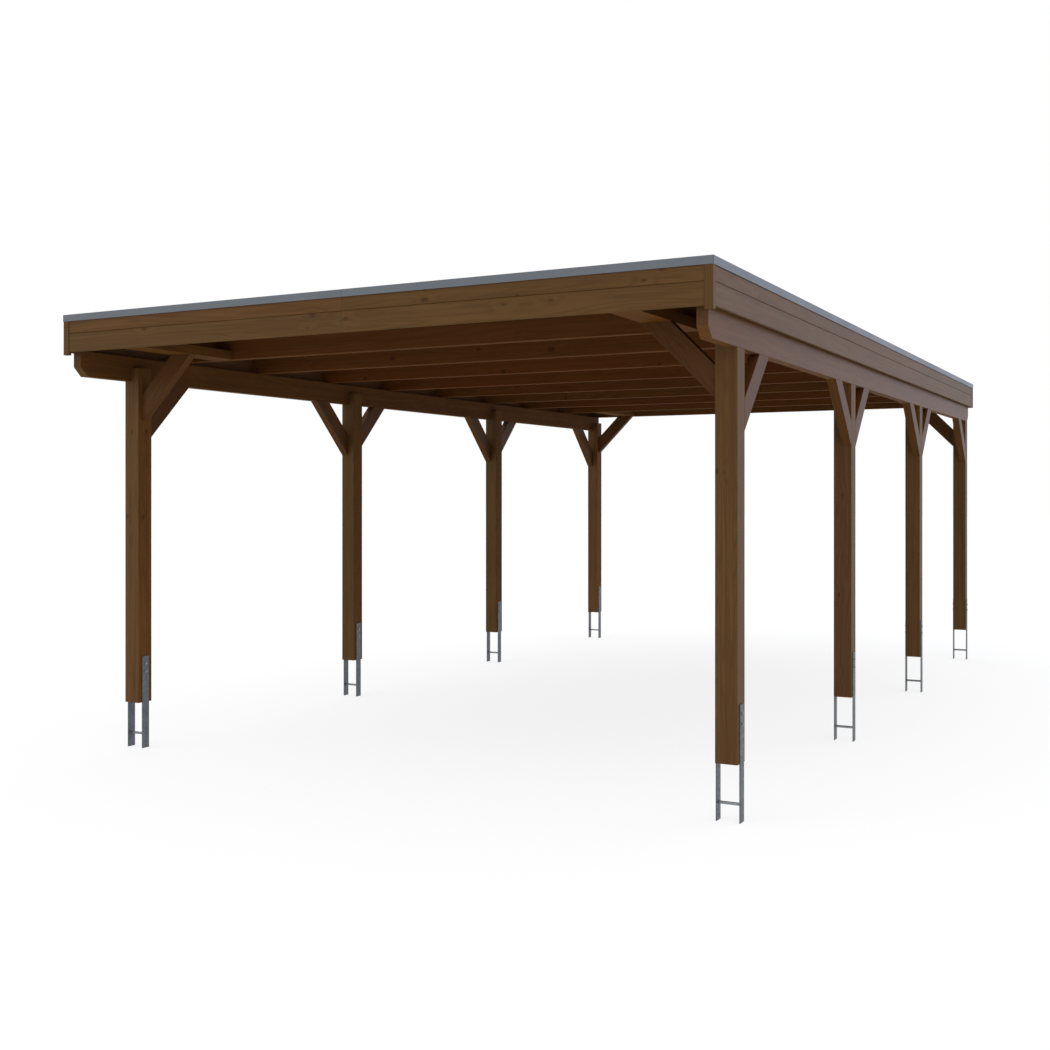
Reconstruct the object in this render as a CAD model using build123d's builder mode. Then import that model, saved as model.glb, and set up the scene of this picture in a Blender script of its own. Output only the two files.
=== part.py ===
"""A flat-roofed timber carport on eight posts. Millimetres, Z up, the entrance faces -Y."""
import os

from build123d import *

os.makedirs("parts", exist_ok=True)

# Roof outline in plan, measured over the metal edge trim
roof_width = 4308
roof_length = 7956

# Longitudinal beams
beam_width = 60
beam_height = 160
beam_bottom = 2426
beam_inset = 49
beam_end_cut = 57
beam_top = beam_bottom + beam_height
beam_length = roof_length - 2 * beam_inset

# Posts, in two rows of four
post_size = 120
post_bottom = 302
post_edge = 3
post_lap = 86
side_overhang = 43
front_overhang = 434
rear_overhang = 54
row_names = ("front", "second", "third", "rear")
post_top = beam_bottom + post_lap
post_outer = roof_width / 2 - side_overhang
post_inner = post_outer - post_size
first_post = front_overhang - beam_length / 2 + post_size / 2
post_pitch = (beam_length - front_overhang - rear_overhang - post_size) / (len(row_names) - 1)

# Rafters
rafter_width = 60
rafter_height = 160
inner_rafters = 8
rafter_pitch = (beam_length - rafter_width) / (inner_rafters + 1)
rafter_top = beam_top + rafter_height

# Braces at 45 degrees, and the blocks that carry the cross braces
brace_width = 60
brace_leg = 422
brace_cut = 170
block_height = 60
timber_edge = 2

# Roof covering
deck_thickness = 19
membrane_thickness = 3
roof_upstand = 45
deck_top = rafter_top + deck_thickness
roof_top = deck_top + roof_upstand

# Metal edge trim
trim_thickness = 2
trim_face = 42
trim_flange = 45
trim_joint = 1
trim_corner_gap = 3

# Fascia boards, two high, and the corner battens
fascia_inset = 6
fascia_thickness = 20
fascia_height = 234
board_gap = 1
board_bevel = 3
boards_high = 2
boards_across = 2
boards_along = 3
batten_inset = trim_thickness
batten_width = 45
batten_depth = 33
batten_drop = 17
batten_edge = 2
fascia_top = roof_top - trim_thickness
fascia_bottom = fascia_top - fascia_height
board_height = (fascia_height + board_gap) / boards_high - board_gap
frame_x = roof_width / 2 - fascia_inset - fascia_thickness
frame_y = roof_length / 2 - fascia_inset - fascia_thickness

# H anchors
flat_width = 60
flat_thickness = 6
flat_top = 606
rod_diameter = 16
rod_height = 92

sides = (("left", -1), ("right", 1))
rows = []
for index, row in enumerate(row_names):
    rows.append((row, first_post + index * post_pitch))


def keep(piece, name):
    """Label one finished piece and write it out."""
    piece.part.label = name
    export_step(piece.part, "parts/" + name + ".step")


# Posts, rebated at the head so that the beam sits on the outer half
for row, y in rows:
    for side_name, side in sides:
        with BuildPart() as post:
            with BuildSketch(Plane.XY.offset(post_bottom)):
                with Locations((side * (post_outer - post_size / 2), y)):
                    Rectangle(post_size, post_size)
            extrude(amount=post_top - post_bottom)
            chamfer(post.edges().filter_by(Axis.Z), length=post_edge)
            with BuildSketch(Plane.XY.offset(beam_bottom)):
                with Locations((side * (post_outer - beam_width / 2), y)):
                    Rectangle(beam_width, post_size)
            extrude(amount=post_top - beam_bottom, mode=Mode.SUBTRACT)
        keep(post, "post_" + row + "_" + side_name)

# H anchors, one under each post of a row
for side_name, side in sides:
    with BuildPart() as anchors:
        for row, y in rows:
            with BuildSketch(Plane.XY):
                with Locations(
                    (side * (post_outer + flat_thickness / 2), y),
                    (side * (post_inner - flat_thickness / 2), y),
                ):
                    Rectangle(flat_thickness, flat_width)
            extrude(amount=flat_top)
            with BuildSketch(Plane.YZ.offset(side * (post_outer - post_size / 2))):
                with Locations((y, rod_height)):
                    Circle(rod_diameter / 2)
            extrude(amount=post_size / 2, both=True)
    keep(anchors, "anchors_" + side_name)

# Longitudinal beams with their lower corners cut off at both ends
for side_name, side in sides:
    with BuildPart() as beam:
        with BuildSketch(Plane.YZ.offset(side * (post_outer - beam_width / 2))):
            with BuildLine():
                Polyline(
                    (-beam_length / 2, beam_top),
                    (-beam_length / 2, beam_bottom + beam_end_cut),
                    (-beam_length / 2 + beam_end_cut, beam_bottom),
                    (beam_length / 2 - beam_end_cut, beam_bottom),
                    (beam_length / 2, beam_bottom + beam_end_cut),
                    (beam_length / 2, beam_top),
                    close=True,
                )
            make_face()
        extrude(amount=beam_width / 2, both=True)
        chamfer(beam.edges().filter_by(Axis.Y), length=timber_edge)
    keep(beam, "beam_" + side_name)

# Rafters: eight inner ones at one pitch, and one behind each end fascia
rafter_rows = [-frame_y + rafter_width / 2]
for index in range(inner_rafters):
    rafter_rows.append((index - (inner_rafters - 1) / 2) * rafter_pitch)
rafter_rows.append(frame_y - rafter_width / 2)
for index, y in enumerate(rafter_rows):
    with BuildPart() as rafter:
        with BuildSketch(Plane.XY.offset(beam_top)):
            with Locations((0, y)):
                Rectangle(2 * frame_x, rafter_width)
        extrude(amount=rafter_height)
        chamfer(rafter.edges().filter_by(Axis.X), length=timber_edge)
    keep(rafter, "rafter_" + str(index + 1))

# Blocks between the first two and the last two rafters
block_center = post_inner - brace_leg + brace_cut / 2
end_bays = (("front", rafter_rows[0], rafter_rows[1]), ("rear", rafter_rows[-2], rafter_rows[-1]))
for row, start, stop in end_bays:
    block_start = start + rafter_width / 2
    block_end = stop - rafter_width / 2
    for side_name, side in sides:
        with BuildPart() as block:
            with BuildSketch(Plane.XY.offset(beam_top)):
                with Locations((side * block_center, (block_start + block_end) / 2)):
                    Rectangle(brace_cut, block_end - block_start)
            extrude(amount=block_height)
            chamfer(block.edges().filter_by(Axis.Y), length=timber_edge)
        keep(block, "block_" + row + "_" + side_name)


def brace_outline(start, direction, top):
    """The outline of a brace that leaves a post face at start and ends under top."""
    Polyline(
        (start, top - brace_leg),
        (start, top - brace_leg + brace_cut),
        (start + direction * (brace_leg - brace_cut), top),
        (start + direction * brace_leg, top),
        close=True,
    )


# Braces: along the beam at every post, and across the bay at the corner posts
for row, y in rows:
    along = []
    if row != row_names[0]:
        along.append(-1)
    if row != row_names[-1]:
        along.append(1)
    for side_name, side in sides:
        with BuildPart() as braces:
            for direction in along:
                with BuildSketch(Plane.YZ.offset(side * (post_outer - brace_width / 2))):
                    with BuildLine():
                        brace_outline(y + direction * post_size / 2, direction, beam_bottom)
                    make_face()
                extrude(amount=brace_width / 2, both=True)
                slope = Axis((0, 0, 0), (0, direction, 1))
                chamfer(braces.edges().filter_by(slope), length=timber_edge)
            if len(along) == 1:
                with BuildSketch(Plane.XZ.offset(-y)):
                    with BuildLine():
                        brace_outline(side * post_inner, -side, beam_top)
                    make_face()
                extrude(amount=brace_width / 2, both=True)
                slope = Axis((0, 0, 0), (-side, 0, 1))
                chamfer(braces.edges().filter_by(slope), length=timber_edge)
        keep(braces, "braces_" + row + "_" + side_name)

# Roof deck on the rafters
with BuildPart() as deck:
    with BuildSketch(Plane.XY.offset(rafter_top)):
        Rectangle(2 * frame_x, 2 * frame_y)
    extrude(amount=deck_thickness)
keep(deck, "roof_deck")

# Roof membrane, turned up behind the fascias
with BuildPart() as membrane:
    with BuildSketch(Plane.XY.offset(deck_top)):
        Rectangle(2 * frame_x, 2 * frame_y)
    extrude(amount=fascia_top - deck_top)
    with BuildSketch(Plane.XY.offset(deck_top + membrane_thickness)):
        Rectangle(2 * (frame_x - membrane_thickness), 2 * (frame_y - membrane_thickness))
    extrude(amount=fascia_top - deck_top - membrane_thickness, mode=Mode.SUBTRACT)
keep(membrane, "roof_membrane")


def board_outline(outer, direction, bottom, top):
    """Cross section of a fascia board with its outer edges bevelled."""
    Polyline(
        (outer - direction * fascia_thickness, bottom),
        (outer - direction * board_bevel, bottom),
        (outer, bottom + board_bevel),
        (outer, top - board_bevel),
        (outer - direction * board_bevel, top),
        (outer - direction * fascia_thickness, top),
        close=True,
    )


# Fascia boards: one above the other, in equal lengths between the corner battens
board_x = roof_width / 2 - fascia_inset
board_y = roof_length / 2 - fascia_inset
batten_x = roof_width / 2 - batten_inset
batten_y = roof_length / 2 - batten_inset
side_run = 2 * (batten_y - batten_depth) - board_gap
side_board = side_run / boards_along - board_gap
for side_name, side in sides:
    with BuildPart() as fascia:
        for level in range(boards_high):
            top = fascia_top - level * (board_height + board_gap)
            bottom = top - board_height
            for index in range(boards_along):
                middle = (index - (boards_along - 1) / 2) * side_run / boards_along
                with BuildSketch(Plane.XZ.offset(-middle)):
                    with BuildLine():
                        board_outline(side * board_x, side, bottom, top)
                    make_face()
                extrude(amount=side_board / 2, both=True)
    keep(fascia, "fascia_" + side_name)

# End fascias, with the L-shaped battens that close the roof corners
# The rear boards stop level with the tops of the beams
end_run = 2 * (batten_x - batten_width) - board_gap
end_board = end_run / boards_across - board_gap
for end_name, end, end_bottom in (("front", -1, fascia_bottom), ("rear", 1, beam_top)):
    with BuildPart() as fascia:
        for level in range(boards_high):
            top = fascia_top - level * (board_height + board_gap)
            bottom = max(end_bottom, top - board_height)
            for index in range(boards_across):
                middle = (index - (boards_across - 1) / 2) * end_run / boards_across
                with BuildSketch(Plane.YZ.offset(middle)):
                    with BuildLine():
                        board_outline(end * board_y, end, bottom, top)
                    make_face()
                extrude(amount=end_board / 2, both=True)
        for side_name, side in sides:
            with BuildSketch(Plane.XY.offset(end_bottom - batten_drop)):
                with BuildLine():
                    Polyline(
                        (side * (batten_x - batten_edge), end * batten_y),
                        (side * (batten_x - batten_width), end * batten_y),
                        (side * (batten_x - batten_width), end * frame_y),
                        (side * frame_x, end * frame_y),
                        (side * frame_x, end * (batten_y - batten_depth)),
                        (side * batten_x, end * (batten_y - batten_depth)),
                        (side * batten_x, end * (batten_y - batten_edge)),
                        close=True,
                    )
                make_face()
            extrude(amount=fascia_top - end_bottom + batten_drop, dir=(0, 0, 1))
    keep(fascia, "fascia_" + end_name)


def trim_outline(outer, direction):
    """Cross section of the edge trim: a face that hangs down and a flange on the boards."""
    Polyline(
        (outer, roof_top - trim_face),
        (outer, roof_top),
        (outer - direction * trim_flange, roof_top),
        (outer - direction * trim_flange, roof_top - trim_thickness),
        (outer - direction * trim_thickness, roof_top - trim_thickness),
        (outer - direction * trim_thickness, roof_top - trim_face),
        close=True,
    )


# Edge trim, mitred at the corners with a narrow gap, and jointed where the boards are
trim_x = roof_width / 2
trim_y = roof_length / 2
mitre_x = trim_x - trim_corner_gap / 2
mitre_y = trim_y - trim_corner_gap / 2
side_joints = []
for index in range(1, boards_along):
    side_joints.append((index - boards_along / 2) * side_run / boards_along)
end_joints = []
for index in range(1, boards_across):
    end_joints.append((index - boards_across / 2) * end_run / boards_across)
for name, side, end in (("left", -1, 0), ("right", 1, 0), ("front", 0, -1), ("rear", 0, 1)):
    with BuildPart() as trim:
        if side:
            with BuildSketch(Plane.XZ):
                with BuildLine():
                    trim_outline(side * trim_x, side)
                make_face()
            extrude(amount=trim_y, both=True)
        else:
            with BuildSketch(Plane.YZ):
                with BuildLine():
                    trim_outline(end * trim_y, end)
                make_face()
            extrude(amount=trim_x, both=True)
        with BuildSketch(Plane.XY.offset(roof_top)):
            with BuildLine():
                if side:
                    Polyline(
                        (side * trim_x, -mitre_y),
                        (side * trim_x, mitre_y),
                        (side * (trim_x - trim_flange), mitre_y - trim_flange),
                        (side * (trim_x - trim_flange), -mitre_y + trim_flange),
                        close=True,
                    )
                else:
                    Polyline(
                        (-mitre_x, end * trim_y),
                        (mitre_x, end * trim_y),
                        (mitre_x - trim_flange, end * (trim_y - trim_flange)),
                        (-mitre_x + trim_flange, end * (trim_y - trim_flange)),
                        close=True,
                    )
            make_face()
        extrude(amount=trim_face, both=True, mode=Mode.INTERSECT)
        with BuildSketch(Plane.XY.offset(roof_top)):
            if side:
                for joint in side_joints:
                    with Locations((side * trim_x, joint)):
                        Rectangle(2 * trim_flange, trim_joint)
            else:
                for joint in end_joints:
                    with Locations((joint, end * trim_y)):
                        Rectangle(trim_joint, 2 * trim_flange)
        extrude(amount=trim_face, both=True, mode=Mode.SUBTRACT)
    keep(trim, "trim_" + name)
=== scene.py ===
import math
import random

import bmesh
import bpy
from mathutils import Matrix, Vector


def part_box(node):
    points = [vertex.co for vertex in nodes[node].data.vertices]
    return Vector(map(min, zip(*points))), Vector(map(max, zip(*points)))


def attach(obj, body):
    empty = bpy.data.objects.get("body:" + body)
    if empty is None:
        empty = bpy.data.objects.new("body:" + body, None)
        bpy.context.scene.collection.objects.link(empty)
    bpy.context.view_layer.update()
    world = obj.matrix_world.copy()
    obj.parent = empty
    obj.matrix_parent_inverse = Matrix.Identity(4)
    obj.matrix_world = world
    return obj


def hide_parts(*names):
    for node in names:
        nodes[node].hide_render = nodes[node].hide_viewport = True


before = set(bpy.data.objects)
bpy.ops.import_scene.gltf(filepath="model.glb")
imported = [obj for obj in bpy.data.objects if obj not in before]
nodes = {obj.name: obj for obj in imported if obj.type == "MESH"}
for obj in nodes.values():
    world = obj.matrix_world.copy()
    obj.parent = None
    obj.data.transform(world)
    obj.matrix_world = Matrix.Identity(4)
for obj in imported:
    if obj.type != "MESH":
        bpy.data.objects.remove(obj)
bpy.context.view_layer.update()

chance = random.Random(7)

MM = 0.001
ROWS = ("front", "second", "third", "rear")
SIDES = ("left", "right")
RAFTERS = range(1, 11)
SHEETS = 8
SIDE_BOARDS_IN_LINE = 3
BOARD_JOINT = 1 * MM
BOARD_SETBACK = 4 * MM
BATTEN_WIDTH = 45 * MM
FLAT_THICKNESS = 6 * MM


def middle_y(name):
    """Halfway from the front to the rear of a node."""
    low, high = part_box(name)
    return (low.y + high.y) / 2


# Places, read off the frame
post_low, post_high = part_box("post_front_right")
post_inner = post_low.x
post_middle = (post_low.x + post_high.x) / 2
row_y = {row: middle_y("post_" + row + "_right") for row in ROWS}
post_pitch = row_y["second"] - row_y["front"]
rafter_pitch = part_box("rafter_3")[0].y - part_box("rafter_2")[0].y
anchor_low, anchor_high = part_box("anchors_right")
flat_inner = (anchor_high.x - anchor_low.x) / 2 - FLAT_THICKNESS
side_low, side_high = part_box("fascia_right")
side_board = (side_high.y - side_low.y) / SIDE_BOARDS_IN_LINE
board_height = (side_high.z - side_low.z) / 2
front_low, front_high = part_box("fascia_front")
batten_start = front_high.x - BATTEN_WIDTH - BOARD_JOINT / 2
deck_low, deck_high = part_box("roof_deck")
sheet_pitch = (deck_high.y - deck_low.y) / SHEETS


def linear(code):
    """An sRGB hex colour as the linear values that a shader takes."""
    parts = [int(code[i:i + 2], 16) / 255 for i in (1, 3, 5)]
    parts = [c / 12.92 if c <= 0.04045 else ((c + 0.055) / 1.055) ** 2.4 for c in parts]
    return (*parts, 1.0)


# A socket is a name or a number. Math and VectorMath take their terms at 0, 1 and 2. MapRange turns
# 0 from the range 1 to 2 into the range 3 to 4. Mix takes its factor at 0, and its pair at 2 and 3 for
# numbers, 4 and 5 for vectors or 6 and 7 for colours, and gives the result out at 0, 1 or 2.
def add(tree, kind, feeds=None, **settings):
    """Add one node. settings are its own, and feeds gives a socket a value, a node or a (node, output)."""
    node = tree.nodes.new("ShaderNode" + kind)
    for name, value in settings.items():
        setattr(node, name, value)
    for socket, value in (feeds or {}).items():
        if isinstance(value, bpy.types.Node):
            value = (value, 0)
        if isinstance(value, tuple) and isinstance(value[0], bpy.types.Node):
            tree.links.new(value[0].outputs[value[1]], node.inputs[socket])
        else:
            node.inputs[socket].default_value = value
    return node


def bare(name):
    """A new material with an empty node tree."""
    material = bpy.data.materials.new(name)
    material.use_nodes = True
    material.node_tree.nodes.clear()
    return material, material.node_tree


def dress(material, *names):
    """Give carried-over CAD nodes this finish."""
    for name in names:
        data = nodes[name].data
        data.materials.clear()
        data.materials.append(material)


# Nearly all values of a noise lie between these two
LOW, HIGH = 0.3, 0.7

# Timber: planed spruce with a walnut-brown glaze
# The glaze lets the grain through, so the eye gets long faint streaks, small dark knots and one
# tone a board, with a soft grey shine where the surface is seen at a flat angle. A glaze has an IOR
# near 1.5, but thinly brushed out on open grain it shines less, so the boards have a lower one.
EARLY_WOOD = "#5e4424"
LATE_WOOD = "#472e13"
RED_TONE = "#603c1f"
KNOT_WOOD = "#311b0c"
END_GRAIN = 0.78
SHELTERED_ROUGHNESS = 0.75
# Painted light on undersides and painted shade on faces turned to the bay: tints that stand in for how
# # light falls on sheltered faces, the undersides a touch greener and the bay faces redder
UNDERSIDE_PAINTED_LIGHT = (1.06, 1.08, 0.74)
POST_BAY_PAINTED_SHADE = (1.15, 1.02, 0.76)
BAY_PAINTED_SHADE = (0.95, 0.76, 0.55)
# Painted shade on whole pieces under the roof: tints that darken and redden them as the shade there does
ROOF_BOARDS_PAINTED_SHADE = (1.02, 0.88, 0.72)
RAFTERS_PAINTED_SHADE = (1.0, 0.81, 0.68)
BLOCKS_PAINTED_SHADE = (0.98, 0.86, 0.68)
BRACES_PAINTED_SHADE = (0.85, 0.69, 0.56)


def run_upright(tree, parts):
    """Grain up the post."""
    return (parts, "Z"), (parts, "X"), (parts, "Y"), (parts, "Z")


def run_lengthwise(tree, parts):
    """Grain from the entrance to the rear."""
    return (parts, "Y"), (parts, "X"), (parts, "Z"), (parts, "Z")


def run_crosswise(tree, parts):
    """Grain from side to side."""
    return (parts, "X"), (parts, "Y"), (parts, "Z"), (parts, "Z")


def run_end_fascia(tree, parts):
    """Grain from side to side in the boards, and up the corner battens, which are one piece each."""
    reach = add(tree, "Math", {0: (parts, "X")}, operation="ABSOLUTE")
    batten = add(tree, "Math", {0: reach, 1: batten_start}, operation="GREATER_THAN")
    along = add(tree, "Mix", {0: batten, 2: (parts, "X"), 3: (parts, "Z")})
    across = add(tree, "Mix", {0: batten, 2: (parts, "Z"), 3: (parts, "X")})
    level = add(tree, "Mix", {0: batten, 2: (parts, "Z"), 3: side_low.z})
    return (along, 0), (across, 0), (parts, "Y"), (level, 0)


def run_braces(post_y):
    """Grain up the slope of each brace of the posts at post_y."""
    def run(tree, parts):
        cosine = math.cos(math.radians(45))
        reach = add(tree, "Math", {0: (parts, "X")}, operation="ABSOLUTE")
        cross = add(tree, "Math", {0: reach, 1: post_inner + MM}, operation="LESS_THAN")
        past = add(tree, "Math", {0: (parts, "Y"), 1: post_y}, operation="SUBTRACT")
        past = add(tree, "Math", {0: past}, operation="ABSOLUTE")
        inward = add(tree, "Math", {0: reach, 1: -1.0}, operation="MULTIPLY")
        flat = add(tree, "Mix", {0: cross, 2: past, 3: inward})
        rise = add(tree, "Math", {0: flat, 1: (parts, "Z")}, operation="ADD")
        fall = add(tree, "Math", {0: flat, 1: (parts, "Z")}, operation="SUBTRACT")
        along = add(tree, "Math", {0: rise, 1: cosine}, operation="MULTIPLY")
        across = add(tree, "Math", {0: fall, 1: cosine}, operation="MULTIPLY")
        third = add(tree, "Mix", {0: cross, 2: (parts, "X"), 3: (parts, "Y")})
        return (along, 0), (across, 0), (third, 0), (parts, "Z")
    return run


def board_lots(tree, parts, level, cells, shift):
    """A random number and colour for each board. cells per metre and shift tell one board from the next."""
    cell = add(tree, "CombineXYZ", {0: (parts, "X"), 1: (parts, "Y"), 2: level})
    cell = add(tree, "VectorMath", {0: cell, 1: cells, 2: shift}, operation="MULTIPLY_ADD")
    cell = add(tree, "VectorMath", {0: cell}, operation="FLOOR")
    return add(tree, "TexWhiteNoise", {"Vector": cell}, noise_dimensions="3D")


def knot_rims(tree, place, grain, strays, knots, oval):
    """Metres from the nearest knot's rim, below zero inside it. Knots are branch stubs 10 to 36 mm across.

    strays is the share of possible knots that grow by chance, and knots lists the others as (place, radius),
    drawn out along the grain by oval.
    """
    # Possible knots a metre, along the grain, across it and into the wood
    net = (2.4, 7.0, 4.5)
    spots = add(tree, "VectorMath", {0: grain, 1: net}, operation="MULTIPLY")
    spots = add(tree, "TexVoronoi", {"Vector": spots, "Scale": 1.0, "Randomness": 0.8})
    heart = add(tree, "VectorMath", {0: (spots, "Position"), 1: net}, operation="DIVIDE")
    off = add(tree, "VectorMath", {0: grain, 1: heart}, operation="SUBTRACT")
    # They are a little longer along the grain, and reach deep into the wood
    off = add(tree, "VectorMath", {0: off, 1: (0.75, 1.0, 0.3)}, operation="MULTIPLY")
    off = add(tree, "VectorMath", {0: off}, operation="LENGTH")
    pick = add(tree, "SeparateColor", {0: (spots, "Color")})
    radius = add(tree, "MapRange", {0: (pick, "Red"), 1: 1.0 - strays, 2: 1.0, 3: 5 * MM, 4: 12 * MM})
    absent = add(tree, "Math", {0: (pick, "Red"), 1: 1.0 - strays}, operation="LESS_THAN")
    rim = add(tree, "Math", {0: (off, "Value"), 1: radius}, operation="SUBTRACT")
    rim = add(tree, "Math", {0: rim, 1: absent}, operation="ADD")
    for centre, size in knots:
        off = add(tree, "VectorMath", {0: (place, "Object"), 1: centre}, operation="SUBTRACT")
        off = add(tree, "VectorMath", {0: off, 1: oval}, operation="MULTIPLY")
        off = add(tree, "VectorMath", {0: off}, operation="LENGTH")
        off = add(tree, "Math", {0: (off, "Value"), 1: size}, operation="SUBTRACT")
        rim = add(tree, "Math", {0: rim, 1: off}, operation="MINIMUM")
    return rim


def growth_rings(tree, grain, rim):
    """Late wood, from 0 to 1. Its lines bend round the knots.

    Most are 10 to 25 mm apart, as where a face is sawn flat to the rings.
    """
    swirl = add(tree, "MapRange", {0: rim, 1: 55 * MM, 2: 0.0, 3: 0.0, 4: 0.035},
                interpolation_type="SMOOTHSTEP")
    slow = add(tree, "VectorMath", {0: grain, 1: (0.42, 7.5, 7.5)}, operation="MULTIPLY")
    field = add(tree, "TexNoise", {"Vector": slow, "Scale": 1.0, "Detail": 2.0, "Roughness": 0.35})
    field = add(tree, "Math", {0: (field, "Fac"), 1: swirl}, operation="ADD")
    rings = add(tree, "Math", {0: field, 1: 46.0}, operation="MULTIPLY")
    rings = add(tree, "Math", {0: rings, 1: 1.0}, operation="PINGPONG")
    return add(tree, "MapRange", {0: rings, 1: 0.35, 2: 1.0, 3: 0.0, 4: 1.0})


def spruce(name, run, cells, shift=(0.0, 0.0, 0.0), painted_shade=(1.0, 1.0, 1.0), ior=1.2, shine=(0.4, 0.5),
           strays=0.3, knots=(), oval=(1.0, 1.0, 1.0), end=None, bay=None, redness=0.75, streaks=(0.9, 1.12)):
    """Glazed spruce, with its grain turned by run.

    cells and shift part the boards, as board_lots says, and strays, knots and oval place the knots, as
    knot_rims says. shine gives the least and the most roughness. end names the axis that sawn ends face,
    which drank more glaze and are darker. bay is a painted shade: it tints the faces that are turned to the
    bay, out of the sun, redder. A tint given to the whole piece is a painted shade as well.
    redness is how red the reddest board is, and streaks gives the darkest and the lightest streak.
    """
    material, tree = bare(name)
    place = add(tree, "TexCoord")
    parts = add(tree, "SeparateXYZ", {0: (place, "Object")})
    along, across, third, level = run(tree, parts)
    grain = add(tree, "CombineXYZ", {0: along, 1: across, 2: third})
    # Each board comes from another part of the log
    lot = board_lots(tree, parts, level, cells, shift)
    slip = add(tree, "VectorMath", {0: (lot, "Color"), 1: (9.0, 0.7, 0.9)}, operation="MULTIPLY")
    grain = add(tree, "VectorMath", {0: grain, 1: slip}, operation="ADD")
    # A knot's colour comes up from 4 mm outside its rim to 7 mm inside it
    rim = knot_rims(tree, place, grain, strays, knots, oval)
    knot = add(tree, "MapRange", {0: rim, 1: 4 * MM, 2: -7 * MM, 3: 0.0, 4: 0.6})
    rings = growth_rings(tree, grain, rim)

    # Fibres 3 mm apart, streaks 28 mm wide, and blotches 200 mm wide where the glaze took unevenly
    fine = add(tree, "VectorMath", {0: grain, 1: (5.0, 320.0, 320.0)}, operation="MULTIPLY")
    fine = add(tree, "TexNoise", {"Vector": fine, "Scale": 1.0, "Detail": 2.0, "Roughness": 0.6})
    wide = add(tree, "VectorMath", {0: grain, 1: (0.7, 36.0, 36.0)}, operation="MULTIPLY")
    wide = add(tree, "TexNoise", {"Vector": wide, "Scale": 1.0, "Detail": 3.0, "Roughness": 0.55})
    blot = add(tree, "VectorMath", {0: grain, 1: (1.6, 5.0, 5.0)}, operation="MULTIPLY")
    blot = add(tree, "TexNoise", {"Vector": blot, "Scale": 1.0, "Detail": 3.0, "Roughness": 0.5})

    # Colour
    red = add(tree, "MapRange", {0: (lot, "Value"), 1: 0.0, 2: 1.0, 3: 0.0, 4: redness})
    early = add(tree, "Mix", {0: red, 6: linear(EARLY_WOOD), 7: linear(RED_TONE)}, data_type="RGBA")
    late = add(tree, "Math", {0: rings, 1: 0.34}, operation="MULTIPLY")
    colour = add(tree, "Mix", {0: late, 6: (early, 2), 7: linear(LATE_WOOD)}, data_type="RGBA")
    lift = add(tree, "MapRange", {0: (wide, "Fac"), 1: LOW, 2: HIGH, 3: streaks[0], 4: streaks[1]})
    tone = add(tree, "MapRange", {0: (lot, "Value"), 1: 0.0, 2: 1.0, 3: 0.94, 4: 1.06})
    glaze = add(tree, "MapRange", {0: (blot, "Fac"), 1: LOW, 2: HIGH, 3: 0.94, 4: 1.07})
    hair = add(tree, "MapRange", {0: (fine, "Fac"), 1: LOW, 2: HIGH, 3: 0.93, 4: 1.07})
    for share in (tone, glaze, hair):
        lift = add(tree, "Math", {0: lift, 1: share}, operation="MULTIPLY")
    colour = add(tree, "VectorMath", {0: (colour, 2), 1: lift}, operation="MULTIPLY")
    # A painted shade over the whole piece, for the pieces under the roof
    colour = add(tree, "VectorMath", {0: colour, 1: painted_shade}, operation="MULTIPLY")

    # Sawn ends are darker. Undersides are matt, with a painted light that makes them a touch greener, and
    # # faces turned to the bay are matt, with a painted shade that makes them redder
    facing = add(tree, "NewGeometry")
    facing = add(tree, "SeparateXYZ", {0: (facing, "Normal")})
    if end:
        sawn = add(tree, "Math", {0: (facing, end)}, operation="ABSOLUTE")
        sawn = add(tree, "MapRange", {0: sawn, 1: 0.9, 2: 1.0, 3: 1.0, 4: END_GRAIN})
        colour = add(tree, "VectorMath", {0: colour, 1: sawn}, operation="MULTIPLY")
    matt = add(tree, "MapRange", {0: (facing, "Z"), 1: -0.4, 2: -0.8, 3: 0.0, 4: 1.0})
    # Painted light on the undersides: a greener tint
    painted_underside = add(tree, "VectorMath", {0: colour, 1: UNDERSIDE_PAINTED_LIGHT}, operation="MULTIPLY")
    colour = add(tree, "Mix", {0: matt, 4: colour, 5: painted_underside}, data_type="VECTOR")
    # Painted shade on the faces turned to the bay: the bay tint
    if bay:
        inward = add(tree, "Math", {0: (facing, "X"), 1: (parts, "X")}, operation="MULTIPLY")
        inward = add(tree, "MapRange", {0: inward, 1: -0.5, 2: -1.0, 3: 0.0, 4: 1.0})
        shaded = add(tree, "VectorMath", {0: (colour, 1), 1: bay}, operation="MULTIPLY")
        colour = add(tree, "Mix", {0: inward, 4: (colour, 1), 5: shaded}, data_type="VECTOR")
        matt = add(tree, "Math", {0: matt, 1: inward}, operation="MAXIMUM")
    colour = add(tree, "Mix", {0: knot, 6: (colour, 1), 7: linear(KNOT_WOOD)}, data_type="RGBA")

    # Surface: late wood and knots sink a little, and fibres stand up
    rough = add(tree, "MapRange", {0: (fine, "Fac"), 1: LOW, 2: HIGH, 3: shine[0], 4: shine[1]})
    rough = add(tree, "Mix", {0: matt, 2: rough, 3: SHELTERED_ROUGHNESS})
    relief = add(tree, "Math", {0: rings, 1: -0.5}, operation="MULTIPLY")
    relief = add(tree, "Math", {0: relief, 1: (fine, "Fac")}, operation="ADD")
    relief = add(tree, "Math", {0: relief, 1: knot}, operation="SUBTRACT")
    bump = add(tree, "Bump", {"Height": relief, "Strength": 0.5, "Distance": 0.6 * MM})
    skin = add(tree, "BsdfPrincipled", {"Base Color": (colour, 2), "Roughness": rough, "Normal": bump,
                                        "IOR": ior})
    add(tree, "OutputMaterial", {0: skin})
    return material


# Metals and the roof sheet
ZINC_COAT = "#676b6e"
SCREW_ZINC = "#8c9396"
STOVE_COAT = "#62686f"
SLATE_GREY = "#3f4448"


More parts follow.
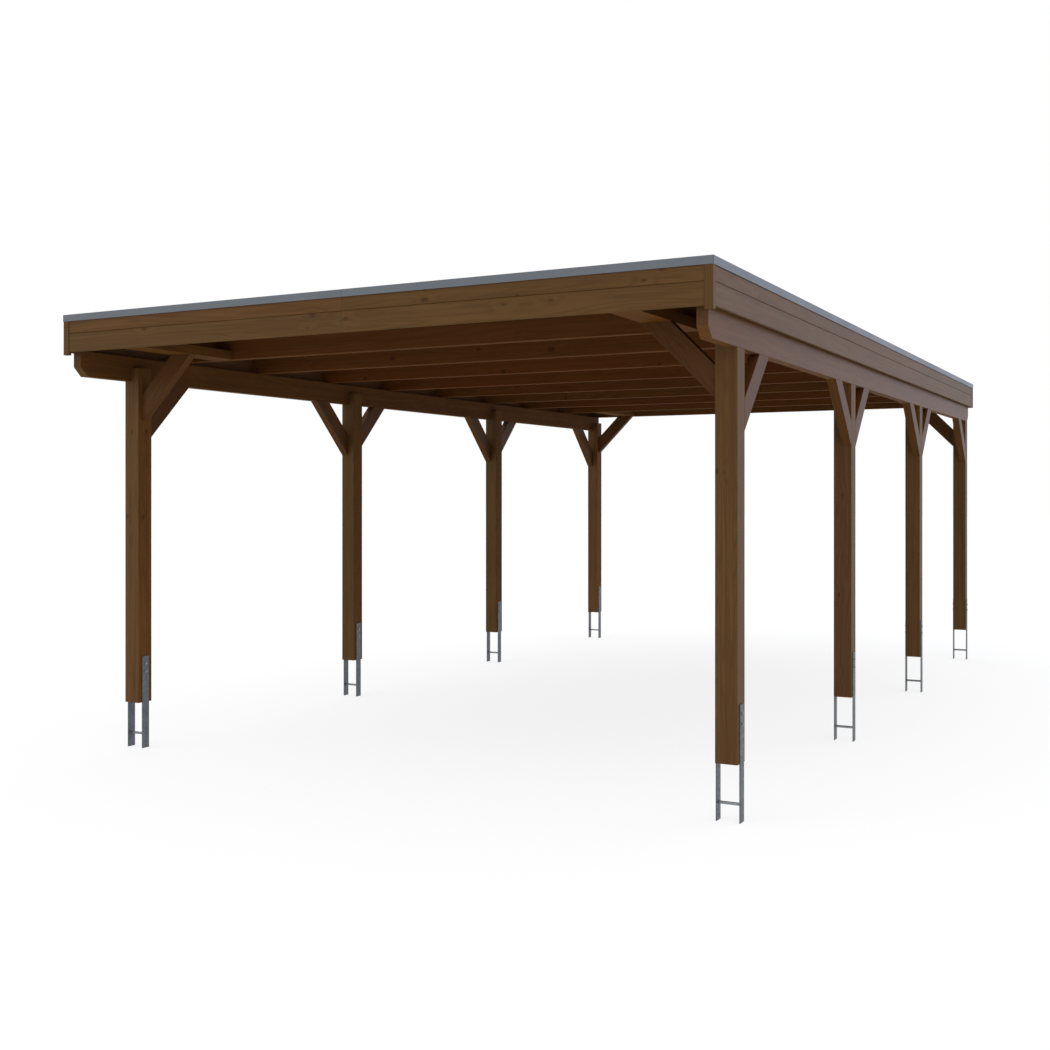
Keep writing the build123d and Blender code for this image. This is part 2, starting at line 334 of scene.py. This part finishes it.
def galvanised():
    """Hot-dip galvanised flat steel: dull zinc, which gives faint spangles and soft cloudy patches."""
    material, tree = bare("galvanised_steel")
    place = add(tree, "TexCoord")
    # Zinc spangles, about 10 mm across
    spangle = add(tree, "TexVoronoi", {"Vector": (place, "Object"), "Scale": 95.0, "Randomness": 1.0})
    flake = add(tree, "SeparateColor", {0: (spangle, "Color")})
    cloud = add(tree, "TexNoise", {"Vector": (place, "Object"), "Scale": 9.0, "Detail": 4.0,
                                   "Roughness": 0.6})
    grit = add(tree, "TexNoise", {"Vector": (place, "Object"), "Scale": 700.0, "Detail": 2.0})
    shade = add(tree, "MapRange", {0: (flake, "Red"), 1: 0.0, 2: 1.0, 3: 0.88, 4: 1.1})
    dull = add(tree, "MapRange", {0: (cloud, "Fac"), 1: LOW, 2: HIGH, 3: 0.85, 4: 1.12})
    shade = add(tree, "Math", {0: shade, 1: dull}, operation="MULTIPLY")
    # The round rod between the two flats is plated, not dipped, and brighter
    parts = add(tree, "SeparateXYZ", {0: (place, "Object")})
    off = add(tree, "Math", {0: (parts, "X")}, operation="ABSOLUTE")
    off = add(tree, "Math", {0: off, 1: post_middle}, operation="SUBTRACT")
    off = add(tree, "Math", {0: off}, operation="ABSOLUTE")
    plated = add(tree, "MapRange", {0: off, 1: flat_inner - MM, 2: flat_inner, 3: 1.9, 4: 1.0})
    shade = add(tree, "Math", {0: shade, 1: plated}, operation="MULTIPLY")
    colour = add(tree, "VectorMath", {0: linear(ZINC_COAT)[:3], 1: shade}, operation="MULTIPLY")
    rough = add(tree, "MapRange", {0: (flake, "Green"), 1: 0.0, 2: 1.0, 3: 0.42, 4: 0.6})
    bump = add(tree, "Bump", {"Height": (grit, "Fac"), "Strength": 0.4, "Distance": 0.2 * MM})
    skin = add(tree, "BsdfPrincipled", {"Base Color": colour, "Metallic": 0.85, "Roughness": rough,
                                        "Normal": bump})
    add(tree, "OutputMaterial", {0: skin})
    return material


def zinc_screw():
    """Zinc-plated cold-formed screw heads: smooth and mid grey, with a fine uneven gloss."""
    material, tree = bare("zinc_plated_screws")
    place = add(tree, "TexCoord")
    grit = add(tree, "TexNoise", {"Vector": (place, "Object"), "Scale": 900.0, "Detail": 3.0})
    shade = add(tree, "MapRange", {0: (grit, "Fac"), 1: LOW, 2: HIGH, 3: 0.85, 4: 1.1})
    colour = add(tree, "VectorMath", {0: linear(SCREW_ZINC)[:3], 1: shade}, operation="MULTIPLY")
    rough = add(tree, "MapRange", {0: (grit, "Fac"), 1: LOW, 2: HIGH, 3: 0.28, 4: 0.42})
    skin = add(tree, "BsdfPrincipled", {"Base Color": colour, "Metallic": 1.0, "Roughness": rough})
    add(tree, "OutputMaterial", {0: skin})
    return material


def coated_aluminium(name, lay):
    """Folded aluminium strip with a blue-grey stove coat: even and satin, with faint roll lines along it."""
    material, tree = bare(name)
    place = add(tree, "TexCoord")
    rolled = add(tree, "VectorMath", {0: (place, "Object"), 1: lay}, operation="MULTIPLY")
    lines = add(tree, "TexNoise", {"Vector": rolled, "Scale": 1.0, "Detail": 3.0, "Roughness": 0.6})
    cloud = add(tree, "TexNoise", {"Vector": (place, "Object"), "Scale": 2.3, "Detail": 3.0})
    peel = add(tree, "TexNoise", {"Vector": (place, "Object"), "Scale": 450.0, "Detail": 1.0})
    shade = add(tree, "MapRange", {0: (lines, "Fac"), 1: LOW, 2: HIGH, 3: 0.95, 4: 1.05})
    dust = add(tree, "MapRange", {0: (cloud, "Fac"), 1: LOW, 2: HIGH, 3: 0.95, 4: 1.05})
    shade = add(tree, "Math", {0: shade, 1: dust}, operation="MULTIPLY")
    colour = add(tree, "VectorMath", {0: linear(STOVE_COAT)[:3], 1: shade}, operation="MULTIPLY")
    rough = add(tree, "MapRange", {0: (cloud, "Fac"), 1: LOW, 2: HIGH, 3: 0.42, 4: 0.54})
    bump = add(tree, "Bump", {"Height": (peel, "Fac"), "Strength": 0.3, "Distance": 0.1 * MM})
    skin = add(tree, "BsdfPrincipled", {"Base Color": colour, "Roughness": rough, "Normal": bump})
    add(tree, "OutputMaterial", {0: skin})
    return material


def roofing_felt():
    """Bitumen sheet strewn with slate: matt, dark and gritty, with paler washed patches."""
    material, tree = bare("slate_bitumen_sheet")
    place = add(tree, "TexCoord")
    parts = add(tree, "SeparateXYZ", {0: (place, "Object")})
    # Slate chips of about 1.5 mm, drawn at 4 mm so that they show
    chips = add(tree, "TexVoronoi", {"Vector": (place, "Object"), "Scale": 250.0, "Randomness": 1.0})
    chip = add(tree, "SeparateColor", {0: (chips, "Color")})
    wash = add(tree, "TexNoise", {"Vector": (place, "Object"), "Scale": 1.1, "Detail": 5.0,
                                  "Roughness": 0.6})
    lot = board_lots(tree, parts, (parts, "Z"), (0.0, 1 / sheet_pitch, 0.0), (0.0, 0.5, 0.0))
    shade = add(tree, "MapRange", {0: (chip, "Red"), 1: 0.0, 2: 1.0, 3: 0.6, 4: 1.45})
    patch = add(tree, "MapRange", {0: (wash, "Fac"), 1: LOW, 2: HIGH, 3: 0.8, 4: 1.25})
    tone = add(tree, "MapRange", {0: (lot, "Value"), 1: 0.0, 2: 1.0, 3: 0.88, 4: 1.12})
    # Bare bitumen squeezed out along the rear edge of each lap, 8 to 26 mm wide
    run = add(tree, "Math", {0: (parts, "Y"), 1: deck_low.y}, operation="SUBTRACT")
    run = add(tree, "Math", {0: run, 1: sheet_pitch}, operation="MODULO")
    edge = add(tree, "TexNoise", {"Vector": (place, "Object"), "Scale": 14.0, "Detail": 2.0})
    edge = add(tree, "MapRange", {0: (edge, "Fac"), 1: LOW, 2: HIGH, 3: 8 * MM, 4: 26 * MM})
    bleed = add(tree, "Math", {0: run, 1: edge}, operation="LESS_THAN")
    dark = add(tree, "MapRange", {0: bleed, 1: 0.0, 2: 1.0, 3: 1.0, 4: 0.45})
    for share in (patch, tone, dark):
        shade = add(tree, "Math", {0: shade, 1: share}, operation="MULTIPLY")
    rough = add(tree, "MapRange", {0: bleed, 1: 0.0, 2: 1.0, 3: 0.88, 4: 0.5})
    colour = add(tree, "VectorMath", {0: linear(SLATE_GREY)[:3], 1: shade}, operation="MULTIPLY")
    bump = add(tree, "Bump", {"Height": (chips, "Distance"), "Strength": 0.7, "Distance": 1.2 * MM},
               invert=True)
    skin = add(tree, "BsdfPrincipled", {"Base Color": colour, "Roughness": rough, "Normal": bump})
    add(tree, "OutputMaterial", {0: skin})
    return material


# Knots in plain sight, each a place on the face and a radius
board_face = front_low.y + BOARD_SETBACK
second_face = row_y["second"] - (post_high.y - post_low.y) / 2
FRONT_KNOTS = [((x, board_face, z), size) for x, z, size in (
    (-1.469, 2.679, 0.011), (-0.235, 2.61, 0.006), (-0.202, 2.678, 0.013), (0.025, 2.647, 0.011),
    (0.539, 2.714, 0.015), (0.54, 2.762, 0.006), (1.018, 2.655, 0.008), (1.098, 2.697, 0.008),
    (1.291, 2.659, 0.01), (1.798, 2.716, 0.01), (1.888, 2.762, 0.01))]
POST_KNOTS = (
    ((2.044, post_low.y, 1.788), 0.006), ((2.0, post_low.y, 1.797), 0.011),
    ((-2.09, post_low.y, 1.533), 0.011), ((-2.051, post_low.y, 2.091), 0.009),
    ((-post_inner, -3.45, 1.532), 0.012), ((-post_inner, -3.422, 2.095), 0.012),
    ((2.048, second_face, 1.673), 0.007), ((2.026, second_face, 0.993), 0.009))
RAFTER_KNOTS = [((x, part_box("rafter_" + str(number))[0].y, z), size) for number, x, z, size in (
    (3, -0.857, 2.641, 0.016), (3, -0.154, 2.667, 0.012), (3, 0.403, 2.637, 0.018),
    (4, -1.697, 2.602, 0.014), (4, -0.437, 2.6, 0.014), (4, 0.821, 2.6, 0.012))]

# Finishes of the carried-over nodes
board_shift = -side_low.z / board_height
upright = spruce("glazed_spruce_posts", run_upright, (0.4, 1 / post_pitch, 0.0), (1.0, 40.0, 5.0),
                 shine=(0.46, 0.56), strays=0.2, knots=POST_KNOTS, oval=(1.0, 1.0, 0.6),
                 bay=POST_BAY_PAINTED_SHADE, redness=0.4, streaks=(0.85, 1.18))
lengthwise = spruce("glazed_spruce_beams", run_lengthwise, (0.4, 0.13, 2.5), end="Y", bay=BAY_PAINTED_SHADE)
crosswise = spruce("glazed_spruce_rafters", run_crosswise, (0.0, 1 / rafter_pitch, 0.0), (0.0, 29.0, 0.0),
                   painted_shade=RAFTERS_PAINTED_SHADE, ior=1.12, shine=(0.6, 0.7), knots=RAFTER_KNOTS, oval=(0.6, 1.0, 1.0),
                   redness=1.0)
blocking = spruce("glazed_spruce_blocks", run_lengthwise, (0.4, 0.13, 2.5), painted_shade=BLOCKS_PAINTED_SHADE, ior=1.12,
                  shine=(0.6, 0.7))
side_fascia = spruce("glazed_spruce_side_fascia", run_lengthwise, (0.4, 1 / side_board, 1 / board_height),
                     (0.0, 0.5, board_shift), ior=1.4, shine=(0.55, 0.65), bay=BAY_PAINTED_SHADE)
front_fascia = spruce("glazed_spruce_front_fascia", run_end_fascia, (1 / batten_start, 0.1, 1 / board_height),
                      (0.0, 0.0, board_shift), strays=0.0, knots=FRONT_KNOTS, oval=(0.55, 1.0, 1.1))
rear_fascia = spruce("glazed_spruce_rear_fascia", run_end_fascia, (1 / batten_start, 0.1, 1 / board_height),
                     (0.0, 0.0, board_shift))
steel = galvanised()
side_trim_coat = coated_aluminium("coated_aluminium_side_trim", (220.0, 1.5, 220.0))
end_trim_coat = coated_aluminium("coated_aluminium_end_trim", (1.5, 220.0, 220.0))
felt = roofing_felt()

for row in ROWS:
    brace_wood = spruce("glazed_spruce_braces_" + row, run_braces(row_y[row]), (0.4, 1.0, 0.0),
                        (0.0, -row_y[row], 0.0), painted_shade=BRACES_PAINTED_SHADE)
    for side in SIDES:
        dress(upright, "post_" + row + "_" + side)
        dress(brace_wood, "braces_" + row + "_" + side)
for side in SIDES:
    dress(steel, "anchors_" + side)
    dress(lengthwise, "beam_" + side)
    dress(blocking, "block_front_" + side, "block_rear_" + side)
    dress(side_fascia, "fascia_" + side)
    dress(side_trim_coat, "trim_" + side)
for number in RAFTERS:
    dress(crosswise, "rafter_" + str(number))
dress(front_fascia, "fascia_front")
dress(rear_fascia, "fascia_rear")
dress(end_trim_coat, "trim_front", "trim_rear")
dress(felt, "roof_membrane")


# New pieces
def object_from(shape, name, material):
    """Turn a bmesh into a named object of one material."""
    data = bpy.data.meshes.new(name)
    shape.to_mesh(data)
    shape.free()
    made = bpy.data.objects.new(name, data)
    bpy.context.scene.collection.objects.link(made)
    data.materials.append(material)
    return made


def piece_from(shape, name, material):
    """Turn a bmesh of closed bodies into a piece of the carport."""
    bmesh.ops.recalc_face_normals(shape, faces=shape.faces)
    piece = object_from(shape, name, material)
    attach(piece, "root")
    return piece


def join_rings(shape, rings):
    """Close the space between rings of corners, and cap the first and the last."""
    shape.faces.new(rings[0])
    shape.faces.new(reversed(rings[-1]))
    for first, second in zip(rings, rings[1:]):
        for i in range(len(first)):
            j = (i + 1) % len(first)
            shape.faces.new((first[i], first[j], second[j], second[i]))


# Roof boards: tongued boards laid from front to rear, with a V joint that shows from below
BOARDS = 35
BOARD_GAP = 0.5 * MM
BUTT_GAP = 0.6 * MM
JOINT_EDGE = 3.5 * MM
BUTT_RAFTERS = (4, 7)
board_width = (deck_high.x - deck_low.x) / BOARDS
deck_boards = spruce("glazed_spruce_roof_boards", run_lengthwise, (1 / board_width, 0.25, 0.0),
                     (0.5, 0.0, 0.0), painted_shade=ROOF_BOARDS_PAINTED_SHADE, shine=(0.6, 0.7))
boards = bmesh.new()
for index in range(BOARDS):
    left = deck_low.x + index * board_width + BOARD_GAP / 2
    right = left + board_width - BOARD_GAP
    low, high = deck_low.z, deck_high.z
    outline = [(left + JOINT_EDGE, low), (right - JOINT_EDGE, low), (right, low + JOINT_EDGE),
               (right, high), (left, high), (left, low + JOINT_EDGE)]
    butt = middle_y("rafter_" + str(BUTT_RAFTERS[index % 2]))
    for start, stop in ((deck_low.y, butt - BUTT_GAP / 2), (butt + BUTT_GAP / 2, deck_high.y)):
        join_rings(boards, [[boards.verts.new((x, y, z)) for x, z in outline] for y in (start, stop)])
roof_boards = piece_from(boards, "roof_boards", deck_boards)
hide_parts("roof_deck")

# Felt laps: each sheet lies on the next one to the rear, so it rises in a slope and ends in a step
FELT_THICKNESS = 3 * MM
LAP_WIDTH = 80 * MM
LAP_STEP = 2.5 * MM
LAP_SLOPE = 4 * MM
lap_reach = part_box("roof_membrane")[1].x - FELT_THICKNESS - MM
felt_top = deck_high.z + FELT_THICKNESS
laps = bmesh.new()
for index in range(1, SHEETS):
    edge = deck_low.y + index * sheet_pitch
    rings = []
    for start, z in ((edge - LAP_WIDTH, felt_top), (edge - LAP_WIDTH + LAP_SLOPE, felt_top + LAP_STEP)):
        rings.append([laps.verts.new((x, y, z)) for x, y in (
            (-lap_reach, start), (lap_reach, start), (lap_reach, edge), (-lap_reach, edge))])
    join_rings(laps, rings)
piece_from(laps, "felt_laps", felt)

# Screws on the anchors' flats: a washer and a hexagon head, along +X or -X
SCREW_HEIGHTS = (504 * MM, 557 * MM)
WASHER_RADIUS = 10 * MM
WASHER_THICKNESS = 1.6 * MM
WASHER_BEVEL = 0.3 * MM
WASHER_SIDES = 24
HEAD_RADIUS = 7.5 * MM
HEAD_HEIGHT = 5.3 * MM
HEAD_BEVEL = 0.8 * MM
HEAD_SIDES = 6


def turned_disc(shape, at, out, radius, start, depth, bevel, sides, turn=0.0):
    """Add a disc with a bevelled top, start away from a point. out is 1 if it faces +X and -1 if -X."""
    rings = []
    for reach, size in ((start, radius), (start + depth - bevel, radius), (start + depth, radius - bevel)):
        angles = [turn + 2 * math.pi * k / sides for k in range(sides)]
        rings.append([shape.verts.new((at[0] + out * reach, at[1] + size * math.cos(angle),
                                       at[2] + size * math.sin(angle))) for angle in angles])
    join_rings(shape, rings)


screw_finish = zinc_screw()
for side in SIDES:
    heads = bmesh.new()
    anchor_low, anchor_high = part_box("anchors_" + side)
    for row in ROWS:
        for x, out in ((anchor_high.x, 1), (anchor_low.x, -1)):
            for z in SCREW_HEIGHTS:
                at = (x, row_y[row], z)
                turned_disc(heads, at, out, WASHER_RADIUS, 0.0, WASHER_THICKNESS, WASHER_BEVEL, WASHER_SIDES)
                turned_disc(heads, at, out, HEAD_RADIUS, WASHER_THICKNESS, HEAD_HEIGHT, HEAD_BEVEL,
                            HEAD_SIDES, turn=chance.uniform(0, math.pi / 3))
    piece_from(heads, "anchor_screws_" + side, screw_finish)


# Floor and background
FLOOR_REACH = 90.0
FLOOR_GLOW = 0.78
FILL_STRENGTH = 0.88


def looked_at(tree):
    """One for rays from the camera, a reflection or glass, and zero for those that only carry light."""
    path = add(tree, "LightPath")
    seen = add(tree, "Math", {0: (path, "Is Camera Ray"), 1: (path, "Is Glossy Ray")}, operation="MAXIMUM")
    return add(tree, "Math", {0: seen, 1: (path, "Is Transmission Ray")}, operation="MAXIMUM")


def pale_floor():
    """A matt floor that reads white and keeps a soft shadow. To diffuse light it is a mid grey ground."""
    material, tree = bare("pale_floor")
    seen = looked_at(tree)
    colour = add(tree, "Mix", {0: seen, 6: linear("#f2f2f0"), 7: linear("#909090")}, data_type="RGBA")
    matt = add(tree, "BsdfDiffuse", {"Color": (colour, 2)})
    glow = add(tree, "Math", {0: seen, 1: FLOOR_GLOW}, operation="MULTIPLY")
    lift = add(tree, "Emission", {"Color": linear("#ffffff"), "Strength": glow})
    both = add(tree, "AddShader", {0: matt, 1: lift})
    # From below the floor is clear, so the underside of the roof can be looked at
    side = add(tree, "NewGeometry")
    clear = add(tree, "BsdfTransparent")
    both = add(tree, "MixShader", {0: (side, "Backfacing"), 1: both, 2: clear})
    add(tree, "OutputMaterial", {0: both})
    return material


ground = bmesh.new()
ground.faces.new([ground.verts.new((x * FLOOR_REACH, y * FLOOR_REACH, 0.0))
                  for x, y in ((-1, -1), (1, -1), (1, 1), (-1, 1))])
floor = object_from(ground, "floor", pale_floor())

world = bpy.data.worlds.new("studio")
bpy.context.scene.world = world
world.use_nodes = True
sky = world.node_tree
sky.nodes.clear()
fill = add(sky, "Background", {0: linear("#fafbff"), 1: FILL_STRENGTH})
white = add(sky, "Background", {0: linear("#ffffff"), 1: 1.0})
mixed = add(sky, "MixShader", {0: looked_at(sky), 1: fill, 2: white})
add(sky, "OutputWorld", {0: mixed})


# Light and camera
def soft_lamp(name, energy, spread, colour, direction):
    """A distant lamp with soft edges, spread degrees wide, that shines along a direction."""
    data = bpy.data.lights.new(name, "SUN")
    data.energy = energy
    data.angle = math.radians(spread)
    data.color = linear(colour)[:3]
    lamp = bpy.data.objects.new(name, data)
    bpy.context.scene.collection.objects.link(lamp)
    lamp.rotation_euler = Vector(direction).to_track_quat("-Z", "Y").to_euler()


soft_lamp("key_from_front_left", 0.35, 40, "#fff7ee", (0.3, 0.6, -0.74))
soft_lamp("cool_light_from_rear_right", 0.35, 60, "#9cbcff", (-0.55, -0.8, -0.2))

lens = bpy.data.cameras.new("camera")
lens.sensor_width = 36.0
lens.lens = 43.292
lens.shift_y = -0.02893
lens.clip_end = 500.0
camera = bpy.data.objects.new("camera", lens)
bpy.context.scene.collection.objects.link(camera)
camera.location = (4.155, -9.6602, 1.6766)
camera.rotation_euler = (math.radians(90), 0.0, math.radians(27.89))
bpy.context.scene.camera = camera

bpy.context.scene.view_settings.view_transform = "Standard"
